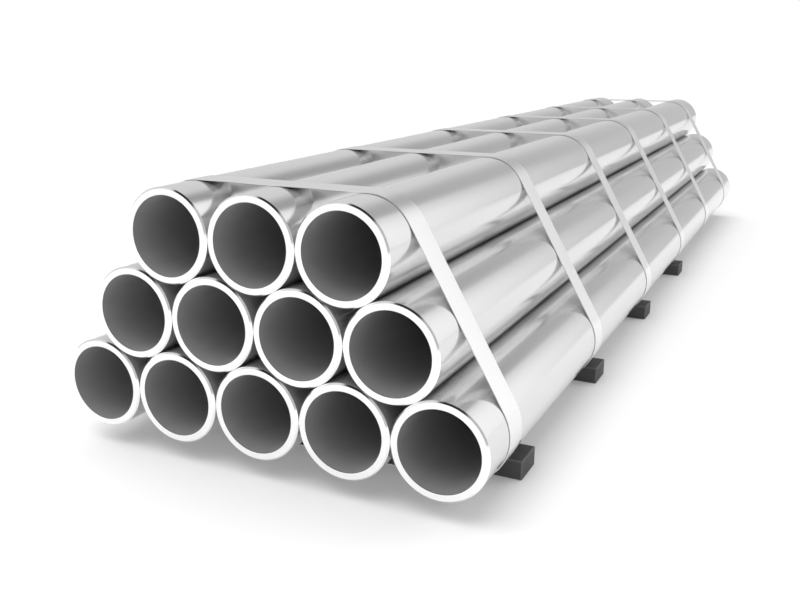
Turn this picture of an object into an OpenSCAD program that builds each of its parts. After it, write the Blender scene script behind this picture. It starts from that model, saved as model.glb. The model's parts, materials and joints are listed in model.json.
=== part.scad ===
// Stack of round steel tubes: three nested rows, banded with flat steel straps,
// lying on cross bearers. Millimetres, +Z up, tubes along Y.
// Origin: centre of the stack's footprint, on the floor under the bearers.

/* [Tubes] */
// Outside diameter of a tube
tube_od = 219.1; // [120:0.1:330]
// Wall thickness of a tube
tube_wall = 18.26; // [4:0.01:28]
// Length of a tube
tube_l = 4000; // [3000:10:6500]
// Bevel around the outside edge of each tube end
end_bevel = 3.5; // [0.5:0.1:3.5]
// Number of tubes in the bottom row; each row above has one fewer
bottom_tubes = 5; // [3:1:6]

/* [Straps] */
// Number of straps along the stack
strap_count = 6; // [3:1:8]
// Width of a strap along the tubes
strap_w = 76; // [20:1:100]
// Thickness of a strap
strap_t = 2; // [0.8:0.1:4]
// Near end of the tubes to the near edge of the first strap
strap_margin_near = 116; // [20:1:400]
// Far edge of the last strap to the far end of the tubes
strap_margin_far = 202; // [20:1:400]

/* [Bearers] */
// Number of bearers, one behind each of the first straps
bearer_count = 4; // [2:1:6]
// Height of a bearer
bearer_h = 47; // [20:1:120]
// Depth of a bearer along the tubes
bearer_d = 95; // [40:1:120]
// Bevel along the four long edges of a bearer
bearer_bevel = 3; // [0.5:0.5:8]
// How far a bearer's ends stop short of the stack's side
bearer_inset = 13; // [0:1:60]
// Clear distance from the first strap to the first bearer
bearer_gap_first = 65; // [2:1:90]
// Clear distance from each later strap to its bearer
bearer_gap = 30; // [2:1:90]

/* [Fits] */
// Working gap left between pieces that lie against each other
contact_gap = 0.2; // [0.1:0.05:0.4]

/* [Hidden] */
$fn = 128;
tube_r = tube_od / 2;
bore_r = tube_r - tube_wall;
tube_pitch = tube_od + contact_gap;
// Slope of the stack's sides: each tube lies in the valley between the two under it
side_slope = 60;
row_rise = tube_pitch * sin(side_slope);
bottom_axis_z = bearer_h + contact_gap + tube_r;
near_y = -tube_l / 2;

// The rows from the floor up, with the tubes that each one holds
ROW_NAMES = ["bottom", "middle", "top"];
rows = len(ROW_NAMES);
function row_tubes(row) = bottom_tubes - row;
function tube_x(row, i) = (i - (row_tubes(row) - 1) / 2) * tube_pitch;
function tube_z(row) = bottom_axis_z + row * row_rise;

// Straps run round the four corner tubes, flat from one corner to the next
strap_r = tube_r + contact_gap;
strap_pitch = (tube_l - strap_margin_near - strap_margin_far - strap_w) / (strap_count - 1);
function strap_y(i) = near_y + strap_margin_near + i * strap_pitch;
low_x = tube_x(0, bottom_tubes - 1);
high_x = tube_x(rows - 1, row_tubes(rows - 1) - 1);
low_z = tube_z(0);
high_z = tube_z(rows - 1);
corners = [[low_x, low_z], [high_x, high_z], [-high_x, high_z], [-low_x, low_z]];
// Directions that the strap's flat runs face: the floor, one side, up, the other side, the floor
headings = [-90, 90 - side_slope, 90, 90 + side_slope, 270];
// Angle from one point of a bend to the next
bend_step = 3;
// The strap's path, a distance r out from the axes of the corner tubes
function loop_outline(r) = [
    for (corner = [0:len(corners) - 1])
        for (heading = [headings[corner]:bend_step:headings[corner + 1]])
            corners[corner] + r * [cos(heading), sin(heading)]
];

// Bearers
bearers = min(bearer_count, strap_count);
bearer_half_l = low_x + tube_r - bearer_inset;
function gap_before(i) = i == 0 ? bearer_gap_first : bearer_gap;
function bearer_y(i) = strap_y(i) + strap_w + gap_before(i);

function tube_name(row, i) = str("tube_", ROW_NAMES[row], "_", i + 1);
function strap_name(i) = str("strap_", i + 1);
function bearer_name(i) = str("bearer_", i + 1);
TUBE_NODES = [for (row = [0:rows - 1]) for (i = [0:row_tubes(row) - 1]) tube_name(row, i)];
STRAP_NODES = [for (i = [0:strap_count - 1]) strap_name(i)];
BEARER_NODES = [for (i = [0:bearers - 1]) bearer_name(i)];

// One tube, its wall turned about the tube's own axis
module tube(row, i) {
    wall_outline = [
        [bore_r, 0],
        [tube_r - end_bevel, 0],
        [tube_r, end_bevel],
        [tube_r, tube_l - end_bevel],
        [tube_r - end_bevel, tube_l],
        [bore_r, tube_l]
    ];
    color("gainsboro")
        translate([tube_x(row, i), -near_y, tube_z(row)])
            rotate([90, 0, 0])
                rotate_extrude()
                    polygon(wall_outline);
}

// One strap, closed round the whole stack
module strap(i) {
    color("silver")
        translate([0, strap_y(i) + strap_w, 0])
            rotate([90, 0, 0])
                linear_extrude(strap_w)
                    difference() {
                        polygon(loop_outline(strap_r + strap_t));
                        polygon(loop_outline(strap_r));
                    }
}

// One bearer, a block across the stack with its long edges bevelled
module bearer(i) {
    section = [
        [bearer_bevel, 0],
        [bearer_d - bearer_bevel, 0],
        [bearer_d, bearer_bevel],
        [bearer_d, bearer_h - bearer_bevel],
        [bearer_d - bearer_bevel, bearer_h],
        [bearer_bevel, bearer_h],
        [0, bearer_h - bearer_bevel],
        [0, bearer_bevel]
    ];
    color("dimgray")
        translate([-bearer_half_l, bearer_y(i), 0])
            rotate([90, 0, 90])
                linear_extrude(2 * bearer_half_l)
                    polygon(section);
}

for (row = [0:rows - 1])
    for (i = [0:row_tubes(row) - 1])
        tube(row, i);
for (i = [0:strap_count - 1])
    strap(i);
for (i = [0:bearers - 1])
    bearer(i);
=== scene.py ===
"""A stack of steel tubes in three nested rows, strapped and lying on rubber bearers."""
import json
from math import cos, pi, radians, sin, tan

import bmesh
import bpy
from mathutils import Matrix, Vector


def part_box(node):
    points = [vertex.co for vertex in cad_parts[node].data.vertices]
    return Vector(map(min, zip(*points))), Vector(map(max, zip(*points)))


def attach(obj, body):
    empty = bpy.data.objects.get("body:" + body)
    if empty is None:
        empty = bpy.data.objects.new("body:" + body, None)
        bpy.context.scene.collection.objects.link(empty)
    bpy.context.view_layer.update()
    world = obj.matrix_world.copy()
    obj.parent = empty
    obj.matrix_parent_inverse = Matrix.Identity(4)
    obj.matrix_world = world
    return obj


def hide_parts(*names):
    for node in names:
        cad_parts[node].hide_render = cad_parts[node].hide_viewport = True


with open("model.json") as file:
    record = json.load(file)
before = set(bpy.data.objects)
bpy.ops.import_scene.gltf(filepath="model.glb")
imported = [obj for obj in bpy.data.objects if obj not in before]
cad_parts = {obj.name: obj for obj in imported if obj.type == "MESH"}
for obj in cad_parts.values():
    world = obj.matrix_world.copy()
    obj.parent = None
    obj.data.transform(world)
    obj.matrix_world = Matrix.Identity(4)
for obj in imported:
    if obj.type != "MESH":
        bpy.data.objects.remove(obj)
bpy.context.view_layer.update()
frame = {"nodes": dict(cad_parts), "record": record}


# ---------------------------------------------------------------- bearers
# Four solid blocks of hard black rubber, cut from a moulded bar and laid across under the
# bottom row. Their faces have a dull, grained skin, and their rounded edges carry a painted highlight.

bearer_nodes = sorted(name for name in frame["nodes"] if name.startswith("bearer_"))
bearer_edge_radius = 0.0032
bearer_edge_steps = 4
bearer_crease = radians(40)
flat_face = 0.999  # a flat face looks this much along one axis, and a rounded edge less
noise_low, noise_high = 0.3, 0.7  # nearly all of the noise lies between these


def new_material(name):
    """A material with an empty node tree, its Principled shader and its output."""
    material = bpy.data.materials.new(name)
    material.use_nodes = True
    nodes = material.node_tree.nodes
    nodes.clear()
    shader = nodes.new("ShaderNodeBsdfPrincipled")
    output = nodes.new("ShaderNodeOutputMaterial")
    material.node_tree.links.new(shader.outputs["BSDF"], output.inputs["Surface"])
    return material, nodes, material.node_tree.links, shader


def add_node(nodes, kind, values=None, **settings):
    """A node with its settings, and with the values of its named inputs."""
    node = nodes.new(kind)
    for key, value in settings.items():
        setattr(node, key, value)
    for key, value in (values or {}).items():
        node.inputs[key].default_value = value
    return node


def new_group(name, inputs, outputs):
    """A shader node group with the given inputs and outputs."""
    group = bpy.data.node_groups.new(name, "ShaderNodeTree")
    for label, kind, value in inputs:
        socket = group.interface.new_socket(label, in_out="INPUT", socket_type=kind)
        socket.default_value = value
    for label, kind in outputs:
        group.interface.new_socket(label, in_out="OUTPUT", socket_type=kind)
    nodes = group.nodes
    return group, nodes, group.links, nodes.new("NodeGroupInput"), nodes.new("NodeGroupOutput")


def stretched_noise_group():
    """Noise drawn out along one direction: a mask from 0 to 1, and a normal."""
    group, nodes, links, given, out = new_group(
        "drawn_noise",
        [
            ("Stretch", "NodeSocketVector", (1.0, 1.0, 1.0)),
            ("Scale", "NodeSocketFloat", 100.0),
            ("Depth", "NodeSocketFloat", 0.0001),
            ("Strength", "NodeSocketFloat", 0.2),
        ],
        [("Mask", "NodeSocketFloat"), ("Normal", "NodeSocketVector")],
    )
    place = nodes.new("ShaderNodeTexCoord")
    drawn = add_node(nodes, "ShaderNodeVectorMath", operation="MULTIPLY")
    noise = add_node(nodes, "ShaderNodeTexNoise", {"Detail": 3.0, "Roughness": 0.55})
    bump = nodes.new("ShaderNodeBump")
    links.new(place.outputs["Object"], drawn.inputs[0])
    links.new(given.outputs["Stretch"], drawn.inputs[1])
    links.new(drawn.outputs["Vector"], noise.inputs["Vector"])
    links.new(given.outputs["Scale"], noise.inputs["Scale"])
    links.new(noise.outputs["Fac"], bump.inputs["Height"])
    links.new(given.outputs["Depth"], bump.inputs["Distance"])
    links.new(given.outputs["Strength"], bump.inputs["Strength"])
    links.new(noise.outputs["Fac"], out.inputs["Mask"])
    links.new(bump.outputs["Normal"], out.inputs["Normal"])
    return group


drawn_noise = stretched_noise_group()


def place_noise(nodes, scale, stretch=(1.0, 1.0, 1.0), depth=0.0, strength=0.0):
    """The drawn noise group with one material's values; as a mask only, it needs no depth."""
    values = {"Scale": scale, "Stretch": stretch, "Depth": depth, "Strength": strength}
    return add_node(nodes, "ShaderNodeGroup", values, node_tree=drawn_noise)


def vary_grey(nodes, links, shader, noise, low, high):
    """The shader's colour goes from a low grey to a high one with the noise."""
    mix = add_node(
        nodes,
        "ShaderNodeMix",
        {"A": (low, low, low, 1.0), "B": (high, high, high, 1.0)},
        data_type="RGBA",
    )
    links.new(noise.outputs["Mask"], mix.inputs["Factor"])
    links.new(mix.outputs["Result"], shader.inputs["Base Color"])


def vary_roughness(nodes, links, shader, noise, low, high):
    """The shader's roughness goes from low to high with the noise."""
    spread = add_node(
        nodes,
        "ShaderNodeMapRange",
        {"From Min": noise_low, "From Max": noise_high, "To Min": low, "To Max": high},
    )
    links.new(noise.outputs["Mask"], spread.inputs["Value"])
    links.new(spread.outputs["Result"], shader.inputs["Roughness"])


def bearer_rubber(name, low, high):
    """Black rubber from a low grey to a high one: slightly cloudy, with a fine dull grain."""
    material, nodes, links, shader = new_material(name)
    cloud = place_noise(nodes, scale=28.0)
    grain = place_noise(nodes, scale=900.0, depth=0.00025, strength=0.35)
    vary_grey(nodes, links, shader, cloud, low, high)
    vary_roughness(nodes, links, shader, grain, 0.55, 0.72)
    links.new(grain.outputs["Normal"], shader.inputs["Normal"])
    shader.inputs["Specular IOR Level"].default_value = 0.4
    return material


def finish_piece(piece, node):
    """The piece stands for its CAD node and moves with the stack."""
    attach(piece, "root")
    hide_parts(node)


def link_mesh(name, mesh):
    """A new object in the scene, at the origin, with this mesh."""
    piece = bpy.data.objects.new(name, mesh)
    bpy.context.scene.collection.objects.link(piece)
    return piece


def rounded_block(low, high):
    """A block from low to high; its rounded edges take the second material."""
    block = bmesh.new()
    bmesh.ops.create_cube(block, size=1.0)
    middle, size = (low + high) / 2, high - low
    for vertex in block.verts:
        vertex.co = middle + Vector(a * b for a, b in zip(vertex.co, size))
    bmesh.ops.bevel(
        block, geom=block.edges[:], offset=bearer_edge_radius, segments=bearer_edge_steps,
        profile=0.5, affect="EDGES",
    )
    for face in block.faces:
        face.material_index = 0 if max(abs(part) for part in face.normal) > flat_face else 1
    mesh = bpy.data.meshes.new("block")
    block.to_mesh(mesh)
    block.free()
    for face in mesh.polygons:
        face.use_smooth = True
    mesh.set_sharp_from_angle(angle=bearer_crease)
    return mesh


rubber = bearer_rubber("moulded_rubber", 0.048, 0.064)
# The rounded edges get a lighter grey: a painted highlight where they catch the light
painted_edge_highlight = bearer_rubber("rubber_painted_highlight", 0.10, 0.14)
for node in bearer_nodes:
    piece = link_mesh(node.replace("bearer", "rubber_bearer"), rounded_block(*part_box(node)))
    for finish in (rubber, painted_edge_highlight):
        piece.data.materials.append(finish)
    finish_piece(piece, node)


# ---------------------------------------------------------------- tubes
# Twelve seamless tubes of heavy wall, polished bright on the outside. Each is sawn to length,
# faced white on its ends and bevelled round the outside edge; the bore keeps its grey mill skin.

tube_nodes = sorted(name for name in frame["nodes"] if name.startswith("tube_"))
first_low, first_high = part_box("tube_bottom_1")
tube_diameter = first_high.x - first_low.x
tube_length = first_high.y - first_low.y
near_end = first_low.y
bore_mount = next(mount for mount in frame["record"]["mounts"] if mount["kind"] == "bore")
bore_radius = bore_mount["dims"]["r_mm"] / 1000
outer_bevel = 0.0035
bore_bevel = 0.0008
tube_sides = 192
ring_pitch = 0.0011  # the facing tool's feed
ring_share = 0.3  # the rings' height, against the specks'
along_at_end, along_at_edge = 0.9, 0.3  # an end face looks right along the tube, a cut edge half
crease_angle = radians(30)


def geometry_tree(name, inputs):
    """A geometry node tree with the named inputs and one geometry output."""
    tree = bpy.data.node_groups.new(name, "GeometryNodeTree")
    for label, kind in inputs:
        tree.interface.new_socket(label, in_out="INPUT", socket_type=kind)
    tree.interface.new_socket("Geometry", in_out="OUTPUT", socket_type="NodeSocketGeometry")
    nodes = tree.nodes
    return tree, nodes, tree.links, nodes.new("NodeGroupInput"), nodes.new("NodeGroupOutput")


def maths(nodes, links, operation, first, second=None):
    """One sum on two numbers, each a socket or a plain value."""
    node = add_node(nodes, "ShaderNodeMath", operation=operation)
    for index, value in enumerate((first, second)):
        if isinstance(value, (int, float)):
            node.inputs[index].default_value = value
        elif value is not None:
            links.new(value, node.inputs[index])
    return node.outputs["Value"]


def off_axis(nodes, links, place):
    """How far a place lies from the tube's axis, which runs along y."""
    across = add_node(nodes, "ShaderNodeVectorMath", {1: (1.0, 0.0, 1.0)}, operation="MULTIPLY")
    reach = add_node(nodes, "ShaderNodeVectorMath", operation="LENGTH")
    links.new(place, across.inputs[0])
    links.new(across.outputs["Vector"], reach.inputs[0])
    return reach.outputs["Value"]


def from_centre(nodes, links, given):
    """Where a point of the piece lies from the piece's own centre."""
    place = nodes.new("GeometryNodeInputPosition")
    offset = add_node(nodes, "ShaderNodeVectorMath", operation="SUBTRACT")
    links.new(place.outputs["Position"], offset.inputs[0])
    links.new(given.outputs["Centre"], offset.inputs[1])
    return offset.outputs["Vector"]


def end_tree(nodes, links, given, out, shape, finishes):
    """Real geometry with its finishes, each on the faces that its test picks, the last on top."""
    whole = nodes.new("GeometryNodeRealizeInstances")
    links.new(shape, whole.inputs["Geometry"])
    shape = whole.outputs["Geometry"]
    for label, chosen in finishes:
        painted = nodes.new("GeometryNodeSetMaterial")
        links.new(shape, painted.inputs["Geometry"])
        links.new(given.outputs[label], painted.inputs["Material"])
        if chosen is not None:
            links.new(chosen, painted.inputs["Selection"])
        shape = painted.outputs["Geometry"]
    links.new(shape, out.inputs["Geometry"])


def tube_tree():
    """The wall's outline, with its corners cut, turned round the tube's own axis."""
    tree, nodes, links, given, out = geometry_tree(
        "turned_tube",
        [
            ("Outside radius", "NodeSocketFloat"),
            ("Bore radius", "NodeSocketFloat"),
            ("Length", "NodeSocketFloat"),
            ("Outer bevel", "NodeSocketFloat"),
            ("Bore bevel", "NodeSocketFloat"),
            ("Sides", "NodeSocketInt"),
            ("Centre", "NodeSocketVector"),
            ("Outside", "NodeSocketMaterial"),
            ("End face", "NodeSocketMaterial"),
            ("Outer edge", "NodeSocketMaterial"),
            ("Bore edge", "NodeSocketMaterial"),
            ("Bore", "NodeSocketMaterial"),
        ],
    )
    outside, bore = given.outputs["Outside radius"], given.outputs["Bore radius"]
    wall = maths(nodes, links, "SUBTRACT", outside, bore)
    middle = maths(nodes, links, "MULTIPLY", maths(nodes, links, "ADD", outside, bore), 0.5)
    section = nodes.new("GeometryNodeCurvePrimitiveQuadrilateral")
    links.new(wall, section.inputs["Width"])
    links.new(given.outputs["Length"], section.inputs["Height"])

    place = nodes.new("GeometryNodeInputPosition")
    split = nodes.new("ShaderNodeSeparateXYZ")
    links.new(place.outputs["Position"], split.inputs["Vector"])
    on_outside = maths(nodes, links, "GREATER_THAN", split.outputs["X"], 0.0)
    cut = add_node(nodes, "GeometryNodeSwitch", input_type="FLOAT")
    links.new(on_outside, cut.inputs["Switch"])
    links.new(given.outputs["Bore bevel"], cut.inputs["False"])
    links.new(given.outputs["Outer bevel"], cut.inputs["True"])
    bevelled = add_node(nodes, "GeometryNodeFilletCurve", {"Count": 1}, mode="POLY")
    links.new(section.outputs["Curve"], bevelled.inputs["Curve"])
    links.new(cut.outputs["Output"], bevelled.inputs["Radius"])

    ring = nodes.new("GeometryNodeCurvePrimitiveCircle")
    links.new(given.outputs["Sides"], ring.inputs["Resolution"])
    links.new(middle, ring.inputs["Radius"])
    turned = nodes.new("GeometryNodeCurveToMesh")
    links.new(ring.outputs["Curve"], turned.inputs["Curve"])
    links.new(bevelled.outputs["Curve"], turned.inputs["Profile Curve"])

    laid = add_node(nodes, "GeometryNodeTransform", {"Rotation": (pi / 2, 0.0, 0.0)})
    links.new(turned.outputs["Mesh"], laid.inputs["Geometry"])
    keep = add_node(
        nodes, "GeometryNodeStoreNamedAttribute", {"Name": "from_axis"}, data_type="FLOAT_VECTOR"
    )
    links.new(laid.outputs["Geometry"], keep.inputs["Geometry"])
    links.new(place.outputs["Position"], keep.inputs["Value"])

    # The ends and edges are told by where they look, and the bore lies nearer than mid-wall
    facing = nodes.new("GeometryNodeInputNormal")
    facing_split = nodes.new("ShaderNodeSeparateXYZ")
    links.new(facing.outputs["Normal"], facing_split.inputs["Vector"])
    along = maths(nodes, links, "ABSOLUTE", facing_split.outputs["Y"])
    is_end = maths(nodes, links, "GREATER_THAN", along, along_at_end)
    is_edge = maths(nodes, links, "GREATER_THAN", along, along_at_edge)
    reach = off_axis(nodes, links, from_centre(nodes, links, given))
    is_bore = maths(nodes, links, "LESS_THAN", reach, middle)
    is_bore_edge = maths(nodes, links, "MULTIPLY", is_bore, is_edge)
    finishes = [
        ("Outside", None),
        ("Outer edge", is_edge),
        ("Bore", is_bore),
        ("Bore edge", is_bore_edge),
        ("End face", is_end),
    ]

    moved = nodes.new("GeometryNodeTransform")
    links.new(keep.outputs["Geometry"], moved.inputs["Geometry"])
    links.new(given.outputs["Centre"], moved.inputs["Translation"])
    end_tree(nodes, links, given, out, moved.outputs["Geometry"], finishes)
    return tree


def grown(name, tree, values):
    """The plain mesh that a geometry node tree makes from its named inputs."""
    seed = link_mesh(name, bpy.data.meshes.new(name))
    modifier = seed.modifiers.new("grow", "NODES")
    modifier.node_group = tree
    for item in tree.interface.items_tree:
        if item.in_out == "INPUT":
            modifier[item.identifier] = values[item.name]
    graph = bpy.context.evaluated_depsgraph_get()
    mesh = bpy.data.meshes.new_from_object(seed.evaluated_get(graph), depsgraph=graph)
    seed.modifiers.remove(modifier)
    seed.data = mesh
    for face in mesh.polygons:
        face.use_smooth = True
    mesh.set_sharp_from_angle(angle=crease_angle)
    return seed


def polished_steel():
    """Bright drawn steel: a near mirror with faint lines along the tube."""
    material, nodes, links, shader = new_material("polished_steel")
    lines = place_noise(nodes, scale=420.0, stretch=(1.0, 0.012, 1.0), depth=0.000004, strength=0.05)
    haze = place_noise(nodes, scale=9.0, stretch=(1.0, 0.35, 1.0))
    vary_grey(nodes, links, shader, haze, 0.71, 0.73)
    vary_roughness(nodes, links, shader, lines, 0.13, 0.17)
    links.new(lines.outputs["Normal"], shader.inputs["Normal"])
    shader.inputs["Metallic"].default_value = 0.72
    return material


def faced_steel():
    """The faced end: white metal with the tool's rings round the bore."""
    material, nodes, links, shader = new_material("faced_steel")
    axis = add_node(nodes, "ShaderNodeAttribute", attribute_name="from_axis")
    reach = off_axis(nodes, links, axis.outputs["Vector"])
    turns = maths(nodes, links, "MULTIPLY", reach, 2 * pi / ring_pitch)
    rings = maths(nodes, links, "MULTIPLY", maths(nodes, links, "SINE", turns), ring_share)
    speck = place_noise(nodes, scale=160.0)
    height = maths(nodes, links, "ADD", rings, speck.outputs["Mask"])
    bump = add_node(nodes, "ShaderNodeBump", {"Strength": 0.12, "Distance": 0.00003})
    links.new(height, bump.inputs["Height"])
    links.new(bump.outputs["Normal"], shader.inputs["Normal"])
    vary_grey(nodes, links, shader, speck, 0.90, 0.97)
    vary_roughness(nodes, links, shader, speck, 0.30, 0.38)
    shader.inputs["Metallic"].default_value = 0.6
    return material


def cut_edge(name, low, high, roughness):
    """A cut corner of the end, from a low grey to a high one: bright outside, and near black at the
    bore as painted shade.
    """
    material, nodes, links, shader = new_material(name)
    speck = place_noise(nodes, scale=200.0)
    vary_grey(nodes, links, shader, speck, low, high)
    shader.inputs["Roughness"].default_value = roughness
    shader.inputs["Metallic"].default_value = 1.0
    return material


def mill_bore():
    """The bore: an even grey mill skin, half metal and nearly dull."""
    material, nodes, links, shader = new_material("mill_bore")
    skin = place_noise(nodes, scale=60.0, stretch=(1.0, 0.2, 1.0), depth=0.0002, strength=0.08)
    vary_grey(nodes, links, shader, skin, 0.46, 0.50)
    vary_roughness(nodes, links, shader, skin, 0.42, 0.50)
    links.new(skin.outputs["Normal"], shader.inputs["Normal"])
    shader.inputs["Metallic"].default_value = 0.5
    return material


tube_finishes = {
    "Outside": polished_steel(),
    "End face": faced_steel(),
    "Outer edge": cut_edge("cut_outer_edge", 0.92, 0.96, 0.14),
    # The bore's edge is painted near black: painted shade, a dark line just inside the bore
    "Bore edge": cut_edge("bore_edge_painted_shade", 0.05, 0.07, 0.35),
    "Bore": mill_bore(),
}
turned_tube = tube_tree()
for node in tube_nodes:
    low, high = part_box(node)
    tube_values = {
        "Outside radius": tube_diameter / 2,
        "Bore radius": bore_radius,
        "Length": tube_length,
        "Outer bevel": outer_bevel,
        "Bore bevel": bore_bevel,
        "Sides": tube_sides,
        "Centre": (low + high) / 2,
        **tube_finishes,
    }
    piece = grown(node.replace("tube", "steel_tube"), turned_tube, tube_values)
    finish_piece(piece, node)


# ---------------------------------------------------------------- straps
# Six bands of flat bright steel, each drawn tight round the whole stack: flat over the tops,
# bent round the corner tubes and straight down the sides. The band's edges have a fine bevel.

strap_nodes = sorted(name for name in frame["nodes"] if name.startswith("strap_"))
strap_edge_radius = 0.0005
bend_points = 40
side_slope = radians(60)  # nested rows lean in at 60 degrees
inside_below = -0.05  # the inside faces the middle; the edges, which look along the tubes, don't


def strap_tree():
    """A band swept round a trapezium whose corners are rounded to the corner tubes."""
    tree, nodes, links, given, out = geometry_tree(
        "swept_band",
        [
            ("Bottom width", "NodeSocketFloat"),
            ("Top width", "NodeSocketFloat"),
            ("Height", "NodeSocketFloat"),
            ("Bend radius", "NodeSocketFloat"),
            ("Bend points", "NodeSocketInt"),
            ("Band width", "NodeSocketFloat"),
            ("Band thickness", "NodeSocketFloat"),
            ("Edge radius", "NodeSocketFloat"),
            ("Centre", "NodeSocketVector"),
            ("Outside", "NodeSocketMaterial"),
            ("Inside", "NodeSocketMaterial"),
        ],
    )
    loop = add_node(nodes, "GeometryNodeCurvePrimitiveQuadrilateral", {"Offset": 0.0}, mode="TRAPEZOID")
    for label in ("Bottom Width", "Top Width", "Height"):
        links.new(given.outputs[label.capitalize()], loop.inputs[label])
    bent = add_node(nodes, "GeometryNodeFilletCurve", mode="POLY")
    links.new(loop.outputs["Curve"], bent.inputs["Curve"])
    links.new(given.outputs["Bend radius"], bent.inputs["Radius"])
    links.new(given.outputs["Bend points"], bent.inputs["Count"])

    section = nodes.new("GeometryNodeCurvePrimitiveQuadrilateral")
    links.new(given.outputs["Band thickness"], section.inputs["Width"])
    links.new(given.outputs["Band width"], section.inputs["Height"])
    eased = add_node(nodes, "GeometryNodeFilletCurve", {"Count": 1}, mode="POLY")
    links.new(section.outputs["Curve"], eased.inputs["Curve"])
    links.new(given.outputs["Edge radius"], eased.inputs["Radius"])

    swept = nodes.new("GeometryNodeCurveToMesh")
    links.new(bent.outputs["Curve"], swept.inputs["Curve"])
    links.new(eased.outputs["Curve"], swept.inputs["Profile Curve"])
    stood = add_node(nodes, "GeometryNodeTransform", {"Rotation": (pi / 2, 0.0, 0.0)})
    links.new(swept.outputs["Mesh"], stood.inputs["Geometry"])
    links.new(given.outputs["Centre"], stood.inputs["Translation"])

    facing = nodes.new("GeometryNodeInputNormal")
    outward = add_node(nodes, "ShaderNodeVectorMath", operation="DOT_PRODUCT")
    links.new(from_centre(nodes, links, given), outward.inputs[0])
    links.new(facing.outputs["Normal"], outward.inputs[1])
    is_inside = maths(nodes, links, "LESS_THAN", outward.outputs["Value"], inside_below)
    finishes = [("Outside", None), ("Inside", is_inside)]
    end_tree(nodes, links, given, out, stood.outputs["Geometry"], finishes)
    return tree


def strap_steel():
    """Bright strip with fine rolling lines along the band."""
    material, nodes, links, shader = new_material("rolled_strip")
    lines = place_noise(nodes, scale=700.0, stretch=(0.02, 1.0, 0.02), depth=0.000006, strength=0.04)
    haze = place_noise(nodes, scale=14.0)
    vary_grey(nodes, links, shader, haze, 0.83, 0.86)
    vary_roughness(nodes, links, shader, lines, 0.22, 0.26)
    links.new(lines.outputs["Normal"], shader.inputs["Normal"])
    shader.inputs["Metallic"].default_value = 0.85
    return material


def strap_inside():
    """The side against the tubes: bare metal, without lines, a little darker."""
    material, nodes, links, shader = new_material("strip_inside")
    haze = place_noise(nodes, scale=30.0)
    vary_grey(nodes, links, shader, haze, 0.68, 0.74)
    vary_roughness(nodes, links, shader, haze, 0.20, 0.28)
    shader.inputs["Metallic"].default_value = 1.0
    return material


def axis_of(node):
    """The middle of a node's box, which for a tube lies on its axis."""
    low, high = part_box(node)
    return (low + high) / 2


low_axis, high_axis = axis_of("tube_bottom_5"), axis_of("tube_top_3")
contact_gap = axis_of("tube_bottom_2").x - axis_of("tube_bottom_1").x - tube_diameter
strap_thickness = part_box("strap_1")[1].x - low_axis.x - tube_diameter / 2 - contact_gap
bend_radius = tube_diameter / 2 + contact_gap + strap_thickness / 2
band, band_inside = strap_steel(), strap_inside()
swept_band = strap_tree()
for node in strap_nodes:
    low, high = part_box(node)
    strap_values = {
        "Bottom width": 2 * (low_axis.x + bend_radius * tan(side_slope)),
        "Top width": 2 * (high_axis.x + bend_radius / tan(side_slope)),
        "Height": high_axis.z - low_axis.z + 2 * bend_radius,
        "Bend radius": bend_radius,
        "Bend points": bend_points,
        "Band width": high.y - low.y,
        "Band thickness": strap_thickness,
        "Edge radius": strap_edge_radius,
        "Centre": (low + high) / 2,
        "Outside": band,
        "Inside": band_inside,
    }
    piece = grown(node.replace("strap", "steel_strap"), swept_band, strap_values)
    finish_piece(piece, node)


# ---------------------------------------------------------------- studio
# A pale floor in a white room with a dark ceiling. The right wall is the brightest, dimmer
# towards the front, and the back wall has a shaded recess. One broad lamp overhead lights the
# floor evenly, and two soft boxes light the right side and the near end.

floor_size = 400.0
floor_grey = 0.77
floor_glow = 0.12  # fills the deepest gaps between the near ends
sun_strength = 2.35
sun_spread = radians(75)
sun_lean = radians(-15)
box_size = 3.0
box_watts = 55.0

scene = bpy.context.scene
scene.view_settings.view_transform = "Standard"
# Light bounces many times in the valleys between bright tubes
scene.cycles.max_bounces = 16
scene.cycles.glossy_bounces = 12


def pale_floor():
    """A matt, even floor without shine, faintly lit from within."""
    material, nodes, links, shader = new_material("pale_floor")
    shader.inputs["Base Color"].default_value = (floor_grey, floor_grey, floor_grey, 1.0)
    shader.inputs["Roughness"].default_value = 0.9
    shader.inputs["Specular IOR Level"].default_value = 0.0
    shader.inputs["Emission Color"].default_value = (1.0, 1.0, 1.0, 1.0)
    shader.inputs["Emission Strength"].default_value = floor_glow
    return material


bpy.ops.mesh.primitive_plane_add(size=floor_size)
floor = bpy.context.object
floor.name = "floor"
floor.data.materials.append(pale_floor())

world = bpy.data.worlds.new("studio")
scene.world = world
world.use_nodes = True
room, room_links = world.node_tree.nodes, world.node_tree.links
room.clear()


def ramp(value, over, levels):
    """A smooth change between two levels as an angle goes over two marks, in degrees."""
    start, end = over
    low, high = levels
    node = add_node(
        room,
        "ShaderNodeMapRange",
        {"From Min": radians(start), "From Max": radians(end), "To Min": low, "To Max": high},
        interpolation_type="SMOOTHSTEP",
    )
    room_links.new(value, node.inputs["Value"])
    return node.outputs["Result"]


def room_sum(operation, first, second=None):
    """One sum on two numbers of the room's own nodes."""
    return maths(room, room_links, operation, first, second)


def dimmed(light, shade):
    """Light with a share of it taken away."""
    return room_sum("MULTIPLY", light, room_sum("SUBTRACT", 1.0, shade))


# A heading of 0 is straight behind the stack, 90 its right side, -90 its left and 180 its near end
direction = room.new("ShaderNodeTexCoord")
parts = room.new("ShaderNodeSeparateXYZ")
room_links.new(direction.outputs["Generated"], parts.inputs["Vector"])
heading = room_sum("ARCTAN2", parts.outputs["X"], parts.outputs["Y"])
height = room_sum("ARCSINE", parts.outputs["Z"])
off_back = room_sum("ABSOLUTE", heading)

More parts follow.
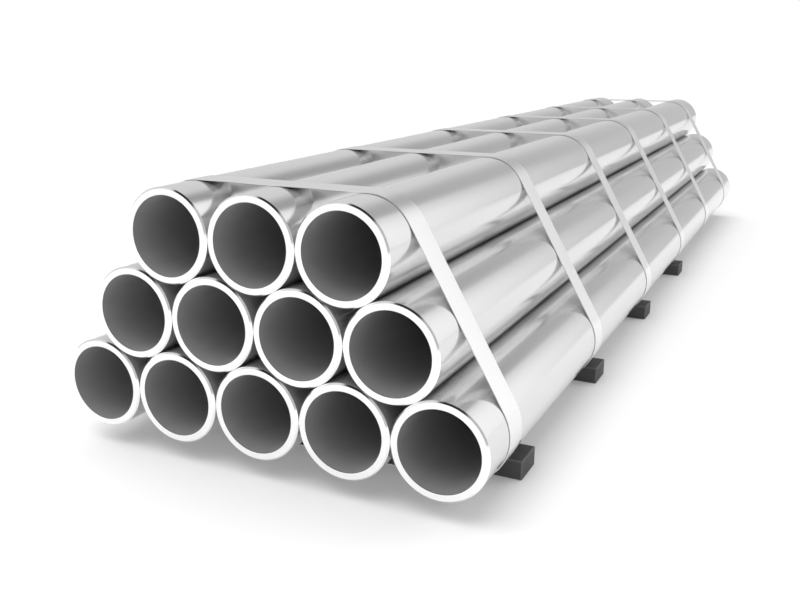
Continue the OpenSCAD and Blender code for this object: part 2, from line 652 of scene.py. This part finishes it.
# The back wall, a little light at the left front, and the bright right wall, whose edge leans
# towards the back as it rises
left_front = ramp(heading, (-90, -150), (0.0, 0.15))
back_wall = room_sum("ADD", ramp(heading, (-20, 8), (0.67, 0.54)), left_front)
leaning = room_sum("ADD", heading, room_sum("MULTIPLY", height, 0.35))
walls = room_sum("ADD", back_wall, ramp(leaning, (14, 32), (0.0, 0.74)))

# A recess behind the stack, darker towards its top
recess = room_sum(
    "MULTIPLY", ramp(heading, (-22, 0), (0.0, 1.0)), ramp(heading, (10.2, 10.8), (1.0, 0.0))
)
walls = dimmed(walls, room_sum("MULTIPLY", recess, ramp(height, (5, 40), (0.0, 0.68))))

# The right wall is dimmer towards the front
near_side = room_sum(
    "MULTIPLY", ramp(heading, (45, 85), (0.0, 0.6)), ramp(heading, (135, 155), (1.0, 0.0))
)
walls = dimmed(walls, near_side)

# The dark ceiling, with a light stretch at the left front, and the dim upper part of the front
lit_side = room_sum(
    "MULTIPLY", ramp(heading, (-140, -125), (0.0, 1.0)), ramp(heading, (-90, -60), (1.0, 0.0))
)
ceiling = dimmed(ramp(height, (43, 53), (0.0, 0.95)), lit_side)
front = room_sum("MULTIPLY", ramp(height, (8, 32), (0.0, 0.6)), ramp(off_back, (138, 150), (0.0, 1.0)))
light = dimmed(dimmed(walls, ceiling), front)

# The camera sees plain white; only the light and the reflections come from the room
seen = room.new("ShaderNodeLightPath")
plain = add_node(room, "ShaderNodeMix", {"B": 1.0}, data_type="FLOAT")
room_links.new(seen.outputs["Is Camera Ray"], plain.inputs["Factor"])
room_links.new(light, plain.inputs["A"])
background = add_node(room, "ShaderNodeBackground", {"Color": (1.0, 1.0, 1.0, 1.0)})
room_out = room.new("ShaderNodeOutputWorld")
room_links.new(plain.outputs["Result"], background.inputs["Strength"])
room_links.new(background.outputs["Background"], room_out.inputs["Surface"])


def hidden_lamp(name, kind, place):
    """A lamp that lights the stack but isn't mirrored in it."""
    data = bpy.data.lights.new(name, kind)
    lamp = bpy.data.objects.new(name, data)
    scene.collection.objects.link(lamp)
    lamp.location = place
    lamp.visible_glossy = False
    return lamp, data


overhead, overhead_data = hidden_lamp("overhead_lamp", "SUN", (0.0, 0.0, 6.0))
overhead_data.energy = sun_strength
overhead_data.angle = sun_spread
overhead.rotation_euler = (0.0, sun_lean, 0.0)

for name, place, aim in (
    ("right_box", (6.0, 3.0, 5.0), (2.5, 2.0, 0.0)),
    ("front_box", (0.6, -4.4, 4.0), (0.4, -3.6, 0.0)),
):
    box, box_data = hidden_lamp(name, "AREA", place)
    box_data.shape = "SQUARE"
    box_data.size = box_size
    box_data.energy = box_watts
    box.rotation_euler = (Vector(aim) - Vector(place)).to_track_quat("-Z", "Y").to_euler()
    box.visible_camera = False


# ---------------------------------------------------------------- camera
# It stands off the near end, to the right and a little above the stack, and looks down along
# the tubes. The angles and the distance are from the point that it looks at.

camera_azimuth = radians(26.66)
camera_elevation = radians(15.92)
camera_distance = 2.506
camera_aim = Vector((0.0, near_end + 0.599, 0.252))
camera_lens = 41.1
camera_shift = (0.0288, 0.0082)

camera_data = bpy.data.cameras.new("camera")
camera_data.lens = camera_lens
camera_data.shift_x, camera_data.shift_y = camera_shift
camera = bpy.data.objects.new("camera", camera_data)
scene.collection.objects.link(camera)
back = Vector((
    sin(camera_azimuth) * cos(camera_elevation),
    -cos(camera_azimuth) * cos(camera_elevation),
    sin(camera_elevation),
))
camera.location = camera_aim + camera_distance * back
camera.rotation_euler = (-back).to_track_quat("-Z", "Y").to_euler()
scene.camera = camera
